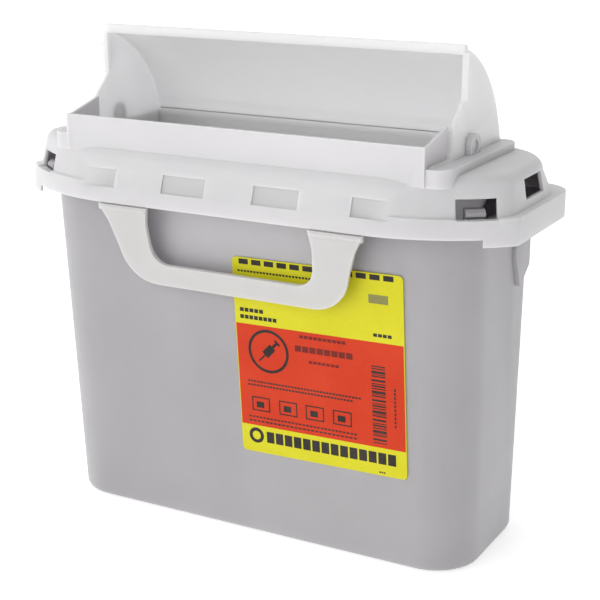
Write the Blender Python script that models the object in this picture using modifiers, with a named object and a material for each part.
"""Side-entry sharps container: tapered bin, snap-fit lid, rotary drop door, strap handle and label.

Metres, +Z up, X to the right, Y to the back.  The origin is the middle of the bin's base.
"""
from math import atan, atan2, cos, pi, radians, sin

import bmesh
import bpy
from mathutils import Matrix, Vector

MM = 0.001
GAP = 0.3 * MM                      # left between pieces that touch

# Bin
BIN_HALF_WIDTH = 128.1 * MM         # at the base
BIN_HALF_DEPTH = 45.8 * MM          # at the base
BIN_HEIGHT = 193.8 * MM             # to the underside of the rim flange
BIN_SIDE_DRAFT = 3.0 * MM           # growth of the half width over the height
BIN_FRONT_DRAFT = 10.4 * MM         # growth of the front over the height
BIN_WALL = 1.8 * MM
BIN_FRONT_RADIUS = 27.0 * MM
BIN_REAR_RADIUS = 22.0 * MM
BASE_FILLET = 3.0 * MM
PAD_HALF_WIDTH = 133.2 * MM         # outer faces of the two bracket pads on the bin's ends
PAD_REAR = 27.0 * MM
PAD_LOW = 148.0 * MM
PAD_HIGH = 191.0 * MM

# Lid
LID_HALF_WIDTH = 149.4 * MM
LID_REAR = 50.0 * MM
LID_BOTTOM = 184.4 * MM
FLANGE_TOP = 198.0 * MM
DECK = 218.0 * MM
LID_WALL = 1.8 * MM
FRONT_AT_DECK = -60.2 * MM
FRONT_SLOPE = 0.33                  # outward run of the front skirt for each unit of drop
CORNER_SPLIT = radians(46)          # turn of a front corner's wide arc, before the tight arc
CORNER_WIDE = 103.0 * MM            # the wide radius at the lid's lower edge
CORNER_TAPER = 0.78                 # how much the wide radius shrinks for each unit of rise
RIM_CLEARANCE = 0.4 * MM            # bin flange to the inside of the lid skirt
RELIEF_HALF_WIDTH = 135.6 * MM      # the front edge is raised between the two corners
RELIEF_TOP = 188.3 * MM
CURB_HALF_WIDTH = 120.0 * MM
CURB_REAR = 39.5 * MM
CURB_ROOT = 212.8 * MM              # sunk below the deck, as deep as the guard
CURB_TOP = 222.0 * MM
CURB_RADIUS = 9.0 * MM
# half width, rear, tight front corner radius and rear corner radius of the lid's outline
FLANGE = (LID_HALF_WIDTH, LID_REAR, 6.0 * MM, 20.0 * MM)
LEDGE = (145.5 * MM, LID_REAR - 1.0 * MM, 9.0 * MM, 34.0 * MM)
SHOULDER = (143.4 * MM, LID_REAR - 2.2 * MM, 13.0 * MM, 43.0 * MM)

# Front guard and its side wings
WING_OUTER = 107.6 * MM
WING_WALL = 1.7 * MM
WING_BOTTOM = 222.3 * MM
WING_REAR = -31.0 * MM
WING_TOP = 239.0 * MM
GUARD_FRONT = -59.4 * MM
GUARD_WALL = 2.0 * MM
GUARD_FOOT = 213.0 * MM
GUARD_TOP = 232.9 * MM
GUARD_TOP_REAR = -55.0 * MM         # where the guard's level top starts to rise along the wings

# Rotary door
PIVOT_Y = -8.0 * MM
PIVOT_Z = 226.0 * MM
DRUM_RADIUS = 43.5 * MM             # of the tray, round the pivot
CROWN_RADIUS = 71.0 * MM            # of the back, from the tray up to the lip
CROWN_CENTRE = (-33.6 * MM, 206.6 * MM)
DOOR_WALL = 1.8 * MM
DOOR_HALF_WIDTH = 110.0 * MM        # outer faces of the end walls
END_RIM = 0.5 * MM                  # the end walls stand this much proud of the curved sheet
TRAY_EDGE = radians(-168)           # front edge of the tray, measured from +Y
END_EDGE = radians(-166)            # front edge of the end walls' round rim
TRAY_END = radians(-3)              # where the tray's round turns into the crown's
CROWN_START = radians(14)
CROWN_END = radians(74)
LIP_FRONT = -17.4 * MM
LIP_REAR = -14.0 * MM
LIP_TOP = 277.9 * MM
LIP_HEIGHT = 5.0 * MM
LIP_HALF_WIDTH = 109.6 * MM
CHEEK_FRONT = -15.2 * MM            # upright front edge of the end walls
CHEEK_LOW = 252.0 * MM              # where that edge turns forward and down
TRAY_STEP = -29.8 * MM              # lower upright edge of the end walls
BEAD_OUTER = 111.6 * MM
BEAD_LOW = 250.0 * MM
BEAD_HIGH = 274.0 * MM
KNOB_OUTER = 114.5 * MM
KNOB_LOW = 256.0 * MM
KNOB_HIGH = 267.0 * MM
TRUNNION_RADIUS = 3.0 * MM
TRUNNION_END = 113.0 * MM
BEARING_RADIUS = 6.5 * MM
BEARING_INNER = 110.7 * MM
BEARING_OUTER = 113.8 * MM
OPENING_CLEARANCE = 1.0 * MM

# Handle
HANDLE_THICKNESS = 2.6 * MM
HANDLE_MIDDLE = -69.0 * MM          # mid plane at the hinge
HANDLE_TOP = 187.7 * MM
HANDLE_BOTTOM = 143.0 * MM          # before the strap is tilted back towards the bin
HANDLE_TILT = radians(11)
HANDLE_KNUCKLE = 1.8 * MM           # radius of the rolled hinge edge
GRIP_TOP = 155.2 * MM               # upper edge of the grip bar

# Label
LABEL_LEFT = -3.5 * MM
LABEL_RIGHT = 97.0 * MM
LABEL_BOTTOM = 52.0 * MM
LABEL_TOP = 165.0 * MM
LABEL_THICKNESS = 0.5 * MM
LABEL_RADIUS = 2.5 * MM
LABEL_TILT = radians(1.2)

# Skirt windows
WINDOW_X = (28.0 * MM, 84.8 * MM)   # middles on the front and on the back, both ways from the centre
WINDOW_WIDTH = 27.0 * MM
WINDOW_LOW = 197.6 * MM
WINDOW_HIGH = 207.6 * MM
WINDOW_REACH = 6.0 * MM             # how far a window's cutter stands either side of the wall
PANEL_DEPTH = 0.8 * MM              # the front windows are thin panels sunk this far, not holes
CORNER_WINDOW_WIDTH = 21.0 * MM
CORNER_TURN = radians(36)           # how far round the front corner its window sits
END_WINDOW_FRONT = -16.0 * MM
END_WINDOW_REAR = 10.0 * MM
END_WINDOW_LOW = 202.5 * MM
END_WINDOW_HIGH = 213.0 * MM
NUB_WIDTH = 16.0 * MM
CORNER_NUB_WIDTH = 10.0 * MM
CHUTE_BOTTOM = 203.6 * MM           # foot of the wall round the opening, above the catches

PARTS = "sharps_container"
TOOLS = "cutters"


# ---------------------------------------------------------------- scene helpers
def clear_scene():
    for item in list(bpy.data.objects):
        bpy.data.objects.remove(item, do_unlink=True)


def collection(name):
    made = bpy.data.collections.new(name)
    bpy.context.scene.collection.children.link(made)
    return made


def plastic(name, colour, roughness, alpha=1.0):
    made = bpy.data.materials.new(name)
    made.use_nodes = True
    shader = made.node_tree.nodes["Principled BSDF"]
    shader.inputs["Base Color"].default_value = (*colour, 1.0)
    shader.inputs["Roughness"].default_value = roughness
    shader.inputs["Metallic"].default_value = 0.0
    shader.inputs["Alpha"].default_value = alpha
    made.diffuse_color = (*colour, alpha)
    return made


def as_object(name, bm, group):
    if all(edge.is_manifold for edge in bm.edges):
        bmesh.ops.recalc_face_normals(bm, faces=bm.faces)
    mesh = bpy.data.meshes.new(name)
    bm.to_mesh(mesh)
    bm.free()
    made = bpy.data.objects.new(name, mesh)
    group.objects.link(made)
    if group.name.startswith(TOOLS):
        made.hide_render = True
        made.display_type = "WIRE"
    return made


def box(name, low, high, group):
    """Block between two corners, with its origin at its centre."""
    bm = bmesh.new()
    bmesh.ops.create_cube(bm, size=1.0)
    size = Vector(high) - Vector(low)
    bmesh.ops.scale(bm, vec=size, verts=bm.verts)
    made = as_object(name, bm, group)
    made.location = (Vector(low) + Vector(high)) / 2
    return made


def x_cylinder(name, radius, low_x, high_x, y, z, group, segments=32):
    bm = bmesh.new()
    bmesh.ops.create_cone(bm, cap_ends=True, segments=segments, radius1=radius,
                          radius2=radius, depth=high_x - low_x)
    bmesh.ops.rotate(bm, cent=(0, 0, 0), matrix=Matrix.Rotation(pi / 2, 3, "Y"), verts=bm.verts)
    made = as_object(name, bm, group)
    made.location = ((low_x + high_x) / 2, y, z)
    return made


def plate(name, outline, thickness, frame, group):
    """Flat outline as a filled 2D curve, made a welded mesh and carried into place by a frame."""
    curve = bpy.data.curves.new(name, "CURVE")
    curve.dimensions = "2D"
    curve.fill_mode = "BOTH"
    curve.extrude = thickness / 2
    spline = curve.splines.new("POLY")
    spline.points.add(len(outline) - 1)
    for point, (u, v) in zip(spline.points, outline):
        point.co = (u, v, 0, 1)
    spline.use_cyclic_u = True
    source = bpy.data.objects.new(name, curve)
    group.objects.link(source)
    bpy.context.view_layer.update()
    mesh = bpy.data.meshes.new_from_object(source.evaluated_get(bpy.context.evaluated_depsgraph_get()))
    bpy.data.objects.remove(source)
    bm = bmesh.new()
    bm.from_mesh(mesh)
    bmesh.ops.remove_doubles(bm, verts=bm.verts, dist=0.00001)
    bmesh.ops.transform(bm, matrix=frame, verts=bm.verts)
    return as_object(name, bm, group)


def side_frame(middle_x):
    """Carries an outline drawn as (y, z) into the plane x = middle_x."""
    return Matrix(((0, 0, 1, middle_x), (1, 0, 0, 0), (0, 1, 0, 0), (0, 0, 0, 1)))


def front_frame(middle_y):
    """Carries an outline drawn as (x, z) into the plane y = middle_y."""
    return Matrix(((1, 0, 0, 0), (0, 0, -1, middle_y), (0, 1, 0, 0), (0, 0, 0, 1)))


def combine(target, tool, operation):
    step = target.modifiers.new(operation.title() + " " + tool.name, "BOOLEAN")
    step.operation = operation
    step.object = tool
    step.solver = "EXACT"


def set_origin(item, place):
    """Moves an object's origin to a point, with its shape left where it is."""
    item.data.transform(Matrix.Translation(-Vector(place)))
    item.location = place


def smooth(item, angle=30):
    item.data.shade_smooth()
    item.data.set_sharp_from_angle(angle=radians(angle))


# ---------------------------------------------------------------- outlines
def arc(centre, radius, start, end, steps):
    return [(centre[0] + radius * cos(start + (end - start) * i / steps),
             centre[1] + radius * sin(start + (end - start) * i / steps)) for i in range(steps + 1)]


def plan_outline(half_width, front, rear, wide, tight, rear_radius):
    """Closed plan outline.  A front corner turns first on the wide radius, then on the tight one."""
    turned = CORNER_SPLIT
    reach = wide * sin(turned) + tight * (1 - sin(turned))
    drop = wide * (1 - cos(turned)) + tight * cos(turned)
    right = arc((half_width - reach, front + wide), wide, -pi / 2, -pi / 2 + turned, 8)
    right += arc((half_width - tight, front + drop), tight, -pi / 2 + turned, 0, 4)[1:]
    right += arc((half_width - rear_radius, rear - rear_radius), rear_radius, 0, pi / 2, 8)
    return right + [(-x, y) for x, y in reversed(right)]


def front_at(z):
    """Front face of the lid's sloping skirt at a height."""
    return FRONT_AT_DECK - FRONT_SLOPE * (DECK - z)


def wide_at(z):
    """Wide corner radius of the lid at a height."""
    return CORNER_WIDE - CORNER_TAPER * (z - LID_BOTTOM)


def lid_outline(z, shape, inset=0.0):
    half_width, rear, tight, rear_radius = shape
    return plan_outline(half_width - inset, front_at(z) + inset, rear - inset,
                        wide_at(z) - inset, tight - inset, rear_radius - inset)


def loft(name, levels, group, top_cap=True):
    """Skin over plan outlines of equal length, each at its height, with a base cap."""
    bm = bmesh.new()
    rings = [[bm.verts.new((x, y, z)) for x, y in outline] for outline, z in levels]
    for low, high in zip(rings, rings[1:]):
        for i in range(len(low)):
            j = (i + 1) % len(low)
            bm.faces.new((low[i], low[j], high[j], high[i]))
    bm.faces.new(list(reversed(rings[0])))
    if top_cap:
        bm.faces.new(rings[-1])
    return as_object(name, bm, group)


# ---------------------------------------------------------------- bin
def bin_outline(z, inset=0.0):
    share = z / BIN_HEIGHT
    return plan_outline(BIN_HALF_WIDTH + BIN_SIDE_DRAFT * share - inset,
                        -BIN_HALF_DEPTH - BIN_FRONT_DRAFT * share + inset,
                        BIN_HALF_DEPTH - inset,
                        BIN_FRONT_RADIUS - inset, BIN_FRONT_RADIUS - inset, BIN_REAR_RADIUS - inset)


def catch_spots():
    """Name, outer face point and outward direction of every window that a catch snaps into."""
    spots = []
    middle = (WINDOW_LOW + WINDOW_HIGH) / 2
    for side in (-1, 1):
        end = "left" if side < 0 else "right"
        for number, x in enumerate(WINDOW_X):
            spots.append((f"rear_{end}_{number}", Vector((side * x, LEDGE[1], 0)), Vector((0, 1, 0))))
        wide = wide_at(middle)
        tight = LEDGE[2]
        reach = wide * sin(CORNER_SPLIT) + tight * (1 - sin(CORNER_SPLIT))
        out = Vector((sin(CORNER_TURN), -cos(CORNER_TURN), 0))
        spot = Vector((LEDGE[0] - reach, front_at(middle) + wide, 0)) + out * wide
        spot.x *= side
        out.x *= side
        spots.append((f"corner_{end}", spot, out))
    return spots


def snap_nub(name, spot, out, width, tools):
    """Catch on the bin's flange that snaps out into a window of the lid skirt."""
    base = 8.0 * MM
    edge = LID_WALL + RIM_CLEARANCE + 1.6 * MM
    tip = 1.4 * MM
    flange = BIN_HEIGHT + 0.4 * MM
    crest = WINDOW_LOW + 0.5 * MM
    profile = [(base, flange), (edge, flange), (edge, crest), (tip, crest + 0.6 * MM),
               (tip, crest + 2.2 * MM), (edge, crest + 4 * MM), (base, crest + 4 * MM)]
    up = Vector((0, 0, 1))
    inward = -out
    along = inward.cross(up)
    frame = Matrix([(*row, place) for row, place in zip(zip(inward, up, along), spot)] + [(0, 0, 0, 1)])
    return plate(name, profile, width, frame, tools)


def bracket_pad(name, side, tools):
    """Raised pad on an end of the bin, near the back, that a wall bracket bears on."""
    profile = [(6 * MM, PAD_HIGH), (6 * MM, 166 * MM), (14 * MM, PAD_LOW),
               (PAD_REAR, PAD_LOW + 10 * MM), (PAD_REAR, PAD_HIGH)]
    inner = BIN_HALF_WIDTH - 0.4 * MM
    frame = side_frame(side * (inner + PAD_HALF_WIDTH) / 2)
    return plate(name, profile, PAD_HALF_WIDTH - inner, frame, tools)


def make_bin(group, tools):
    rim = BIN_HEIGHT
    flange = lid_outline(rim + BIN_WALL + GAP, FLANGE, LID_WALL + RIM_CLEARANCE)
    levels = [(bin_outline(0, BASE_FILLET), 0.0),
              (bin_outline(0, BASE_FILLET * 0.3), BASE_FILLET * 0.3),
              (bin_outline(BASE_FILLET), BASE_FILLET),
              (bin_outline(rim - 4 * MM), rim - 4 * MM),
              (bin_outline(rim - 1 * MM, -0.3 * MM), rim - 1 * MM),
              (bin_outline(rim, -0.9 * MM), rim),
              (flange, rim)]
    made = loft("bin", levels, group, top_cap=False)
    shell = made.modifiers.new("Wall", "SOLIDIFY")
    shell.thickness = BIN_WALL
    shell.offset = -1
    shell.use_even_offset = True
    for name, spot, out in catch_spots():
        width = CORNER_NUB_WIDTH if name.startswith("corner") else NUB_WIDTH
        combine(made, snap_nub(f"nub_{name}", spot, out, width, tools), "UNION")
    for side in (-1, 1):
        combine(made, bracket_pad("pad_left" if side < 0 else "pad_right", side, tools), "UNION")
    made.data.materials.append(plastic("bin_plastic", (0.45, 0.45, 0.47), 0.35, 0.75))
    return made


# ---------------------------------------------------------------- lid
def lid_levels(inset, bottom, deck):
    """Outlines from the skirt's edge to the deck; an inset and lower deck give the hollow."""
    ledge = FLANGE_TOP - inset
    rows = ((bottom, FLANGE, 0.0), (ledge, FLANGE, 0.0), (ledge + 0.6 * MM, LEDGE, 0.0),
            (deck - 6.5 * MM, SHOULDER, 0.0), (deck - 4.0 * MM, SHOULDER, 0.5 * MM),
            (deck - 2.0 * MM, SHOULDER, 1.6 * MM), (deck - 0.6 * MM, SHOULDER, 3.4 * MM),
            (deck, SHOULDER, 5.6 * MM))
    return [(lid_outline(z, shape, inset + trim), z) for z, shape, trim in rows]


def frame_block(name, half_width, front, rear, low, high, radius, group):
    outline = plan_outline(half_width, front, rear, radius, radius, radius)
    return loft(name, [(outline, low), (outline, high)], group)


def wing(name, side, foot_rear, tools):
    """Side wing of the guard: it stands on the deck in front of the opening and reaches back over it."""
    profile = [(GUARD_FRONT, GUARD_FOOT), (foot_rear, GUARD_FOOT), (foot_rear, WING_BOTTOM),
               (WING_REAR, WING_BOTTOM), (WING_REAR, WING_TOP), (GUARD_TOP_REAR, GUARD_TOP),
               (GUARD_FRONT, GUARD_TOP)]
    return plate(name, profile, WING_WALL, side_frame(side * (WING_OUTER - WING_WALL / 2)), tools)


def bearing(end, side, tools):
    """Round ear with a foot down to the deck, beside an end of the opening."""
    ends = sorted((side * BEARING_INNER, side * BEARING_OUTER))
    ear = x_cylinder(f"bearing_{end}", BEARING_RADIUS, *ends, PIVOT_Y, PIVOT_Z, tools)
    foot = box(f"bearing_foot_{end}", (ends[0], PIVOT_Y - BEARING_RADIUS, DECK - 1.5 * MM),
               (ends[1], PIVOT_Y + BEARING_RADIUS, PIVOT_Z), tools)
    return ear, foot


def cut_windows(lid, tools):
    """Open windows over the catches, thin sunk panels along the front and a slot in each end."""
    height = WINDOW_HIGH - WINDOW_LOW
    middle = WINDOW_LOW + height / 2
    for name, spot, out in catch_spots():
        width = CORNER_WINDOW_WIDTH if name.startswith("corner") else WINDOW_WIDTH
        hole = box(f"window_{name}", (-width / 2, -WINDOW_REACH, -height / 2),
                   (width / 2, WINDOW_REACH, height / 2), tools)
        hole.location = (spot.x, spot.y, middle)
        hole.rotation_euler = (0, 0, atan2(out.x, -out.y))
        combine(lid, hole, "DIFFERENCE")
    for side in (-1, 1):
        end = "left" if side < 0 else "right"
        for number, x in enumerate(WINDOW_X):
            panel = box(f"panel_{end}_{number}", (-WINDOW_WIDTH / 2, -WINDOW_REACH, -height / 2),
                        (WINDOW_WIDTH / 2, WINDOW_REACH, height / 2), tools)
            panel.location = (side * x, front_at(middle) - WINDOW_REACH + PANEL_DEPTH, middle)
            panel.data.transform(Matrix.Rotation(-atan(FRONT_SLOPE), 4, "X"))
            combine(lid, panel, "DIFFERENCE")
        ends = sorted((side * (SHOULDER[0] - WINDOW_REACH), side * (SHOULDER[0] + WINDOW_REACH)))
        low = (ends[0], END_WINDOW_FRONT, END_WINDOW_LOW)
        high = (ends[1], END_WINDOW_REAR, END_WINDOW_HIGH)
        combine(lid, box(f"window_end_{end}", low, high, tools), "DIFFERENCE")


def make_lid(group, tools):
    made = loft("lid", lid_levels(0, LID_BOTTOM, DECK), group)
    hollow = loft("lid_hollow", lid_levels(LID_WALL, LID_BOTTOM - 5 * MM, DECK - LID_WALL), tools)
    combine(made, hollow, "DIFFERENCE")

    reach = DRUM_RADIUS + END_RIM + OPENING_CLEARANCE
    front = PIVOT_Y - reach
    rear = PIVOT_Y + reach
    above = CURB_TOP + 5 * MM
    curb = frame_block("curb", CURB_HALF_WIDTH, GUARD_FRONT + 1 * MM, CURB_REAR, CURB_ROOT,
                       CURB_TOP, CURB_RADIUS, tools)
    chute = frame_block("chute", BEARING_INNER + LID_WALL, front - LID_WALL, rear + LID_WALL,
                        CHUTE_BOTTOM, CURB_TOP - 1 * MM, 1 * MM, tools)
    opening = box("opening", (-BEARING_INNER, front, CHUTE_BOTTOM - 5 * MM),
                  (BEARING_INNER, rear, above), tools)
    relief = box("front_relief", (-RELIEF_HALF_WIDTH, front_at(LID_BOTTOM) - 5 * MM, LID_BOTTOM - 5 * MM),
                 (RELIEF_HALF_WIDTH, -45 * MM, RELIEF_TOP), tools)
    combine(made, curb, "UNION")
    combine(made, chute, "UNION")
    combine(made, opening, "DIFFERENCE")
    combine(made, relief, "DIFFERENCE")
    cut_windows(made, tools)

    guard_end = WING_OUTER - WING_WALL / 2
    guard = box("guard", (-guard_end, GUARD_FRONT + 0.05 * MM, GUARD_FOOT + 0.2 * MM),
                (guard_end, GUARD_FRONT + GUARD_WALL, GUARD_TOP - 0.05 * MM), tools)
    combine(made, guard, "UNION")
    for side in (-1, 1):
        end = "left" if side < 0 else "right"
        combine(made, wing(f"wing_{end}", side, front - 0.5 * MM, tools), "UNION")
        for tool in bearing(end, side, tools):
            combine(made, tool, "UNION")
        bore_ends = sorted((side * (BEARING_INNER - 0.5 * MM), side * (BEARING_OUTER + 5 * MM)))
        bore = x_cylinder(f"bearing_bore_{end}", TRUNNION_RADIUS + GAP, *bore_ends, PIVOT_Y, PIVOT_Z, tools)
        combine(made, bore, "DIFFERENCE")
    made.data.materials.append(plastic("lid_plastic", (0.74, 0.73, 0.75), 0.4, 0.9))
    return made


# ---------------------------------------------------------------- door
def on_drum(angle, radius):
    return PIVOT_Y + radius * cos(angle), PIVOT_Z + radius * sin(angle)


def back_curve(offset, tray_start):
    """Side view of the tray's round and the flatter crown above it, moved outward by an offset."""
    tray = arc((PIVOT_Y, PIVOT_Z), DRUM_RADIUS + offset, tray_start, TRAY_END, 26)
    return tray + arc(CROWN_CENTRE, CROWN_RADIUS + offset, CROWN_START, CROWN_END, 14)


def drum_profile():
    """Side view of the curved sheet: tray and crown, up to the lip, as one closed outline."""
    inner = back_curve(-DOOR_WALL, TRAY_EDGE)
    return back_curve(0, TRAY_EDGE) + list(reversed(inner))


def end_profile():
    """Side view of an end wall, cut back at the front to leave the mouth clear."""
    in_lip = LIP_FRONT + 0.8 * MM
    front = [(LIP_REAR - 0.3 * MM, LIP_TOP - 1.0 * MM), (in_lip, LIP_TOP - 1.0 * MM),
             (in_lip, LIP_TOP - 4.0 * MM), (CHEEK_FRONT, LIP_TOP - LIP_HEIGHT - 0.8 * MM),
             (CHEEK_FRONT - 0.3 * MM, CHEEK_LOW), (TRAY_STEP + 0.3 * MM, WING_TOP),
             (TRAY_STEP, WING_BOTTOM - 0.8 * MM), (TRAY_STEP - 0.7 * MM, DECK - 4 * MM)]
    return back_curve(END_RIM, END_EDGE) + front


def box_from(name, side, inner, outer, low, high, tools):
    """Block on one end of the door, between two distances from the middle plane and two (y, z) corners."""
    xs = sorted((side * inner, side * outer))
    return box(name, (xs[0], *low), (xs[1], *high), tools)


def make_door(group, tools):
    made = plate("door", drum_profile(), 2 * DOOR_HALF_WIDTH - DOOR_WALL, side_frame(0), group)
    lip = box("lip", (-LIP_HALF_WIDTH, LIP_FRONT, LIP_TOP - LIP_HEIGHT),
              (LIP_HALF_WIDTH, LIP_REAR, LIP_TOP), tools)
    combine(made, lip, "UNION")
    root = DOOR_HALF_WIDTH - 1 * MM
    for side in (-1, 1):
        end = "left" if side < 0 else "right"
        wall = plate(f"door_end_{end}", end_profile(), DOOR_WALL,
                     side_frame(side * (DOOR_HALF_WIDTH - DOOR_WALL / 2)), tools)
        bead = box_from(f"bead_{end}", side, root - 0.5 * MM, BEAD_OUTER, (LIP_FRONT + 0.1 * MM, BEAD_LOW),
                        (CHEEK_FRONT + 0.7 * MM, BEAD_HIGH), tools)
        pin_ends = sorted((side * root, side * TRUNNION_END))
        pin = x_cylinder(f"trunnion_{end}", TRUNNION_RADIUS, *pin_ends, PIVOT_Y, PIVOT_Z, tools)
        for tool in (wall, bead, pin):
            combine(made, tool, "UNION")
    knob = box_from("lock_knob", -1, root, KNOB_OUTER, (LIP_FRONT + 0.4 * MM, KNOB_LOW),
                    (LIP_REAR + 3 * MM, KNOB_HIGH), tools)
    combine(made, knob, "UNION")
    rib_y, rib_z = on_drum(radians(5), DRUM_RADIUS - DOOR_WALL)
    rib_end = DOOR_HALF_WIDTH - DOOR_WALL / 3
    rib = box("tray_rib", (-rib_end, rib_y - 1.2 * MM, rib_z - 0.7 * MM),
              (rib_end, rib_y + 0.8 * MM, rib_z + 0.7 * MM), tools)
    combine(made, rib, "UNION")
    set_origin(made, (0, PIVOT_Y, PIVOT_Z))
    made.data.materials.append(plastic("door_plastic", (0.68, 0.68, 0.70), 0.35, 0.8))
    return made


# ---------------------------------------------------------------- handle
def handle_outline():
    """Front view of the strap: flared tops, wide legs and a narrower grip bar."""
    outer_radius = 22.0 * MM
    inner_radius = 10.5 * MM
    right_out = [(80.0 * MM, HANDLE_TOP), (74.8 * MM, 178 * MM), (70.6 * MM, HANDLE_BOTTOM + outer_radius)]
    right_out += arc((48.0 * MM, HANDLE_BOTTOM + outer_radius), outer_radius, radians(-8), radians(-90), 8)
    left_out = [(-x, z) for x, z in reversed(right_out)]
    left_in = [(-49.0 * MM, HANDLE_TOP), (-50.8 * MM, 178 * MM), (-50.2 * MM, GRIP_TOP + inner_radius)]
    left_in += arc((-39.4 * MM, GRIP_TOP + inner_radius), inner_radius, radians(188), radians(270), 6)
    right_in = [(-x, z) for x, z in reversed(left_in)]
    return right_out + left_out + left_in + right_in


def make_handle(group, tools):
    made = plate("handle", handle_outline(), HANDLE_THICKNESS, front_frame(HANDLE_MIDDLE), group)
    axis_z = HANDLE_TOP - HANDLE_KNUCKLE
    for side in (-1, 1):
        ends = sorted((side * 50 * MM, side * 79.5 * MM))
        knuckle = x_cylinder("knuckle_left" if side < 0 else "knuckle_right", HANDLE_KNUCKLE, *ends,
                             HANDLE_MIDDLE, axis_z, tools, segments=16)
        combine(made, knuckle, "UNION")
    set_origin(made, (0, HANDLE_MIDDLE, axis_z))
    made.rotation_euler = (HANDLE_TILT, 0, 0)
    made.data.materials.append(plastic("handle_plastic", (0.71, 0.70, 0.72), 0.35, 0.9))
    return made


# ---------------------------------------------------------------- label
def make_label(group):
    width = LABEL_RIGHT - LABEL_LEFT
    height = LABEL_TOP - LABEL_BOTTOM
    radius = LABEL_RADIUS
    corners = ((width / 2, -height / 2, -90), (width / 2, height / 2, 0),
               (-width / 2, height / 2, 90), (-width / 2, -height / 2, 180))
    outline = []
    for u, v, start in corners:
        centre = (u - radius * (1 if u > 0 else -1), v - radius * (1 if v > 0 else -1))
        outline += arc(centre, radius, radians(start), radians(start + 90), 4)
    middle_z = (LABEL_TOP + LABEL_BOTTOM) / 2
    rise = BIN_FRONT_DRAFT / BIN_HEIGHT
    face_y = -BIN_HALF_DEPTH - rise * middle_z
    normal = Vector((0, -1, -rise)).normalized()
    turn = Matrix.Rotation(LABEL_TILT, 4, normal)
    up = Vector((0, -rise, 1)).normalized()
    across = Vector((1, 0, 0))
    base = Matrix.Identity(4)
    for column, axis in enumerate((across, up, normal)):
        for row in range(3):
            base[row][column] = axis[row]
    spot = Vector(((LABEL_LEFT + LABEL_RIGHT) / 2, face_y, middle_z)) + normal * (GAP + LABEL_THICKNESS / 2)
    made = plate("label", outline, LABEL_THICKNESS, Matrix.Translation(spot) @ turn @ base, group)
    made.data.materials.append(plastic("label_stock", (0.86, 0.72, 0.04), 0.4))
    return made


def main():
    clear_scene()
    group = collection(PARTS)
    tools = collection(TOOLS)
    pieces = [make_bin(group, tools), make_lid(group, tools), make_door(group, tools),
              make_handle(group, tools), make_label(group)]
    for piece in pieces:
        smooth(piece)
    bpy.context.view_layer.update()


main()
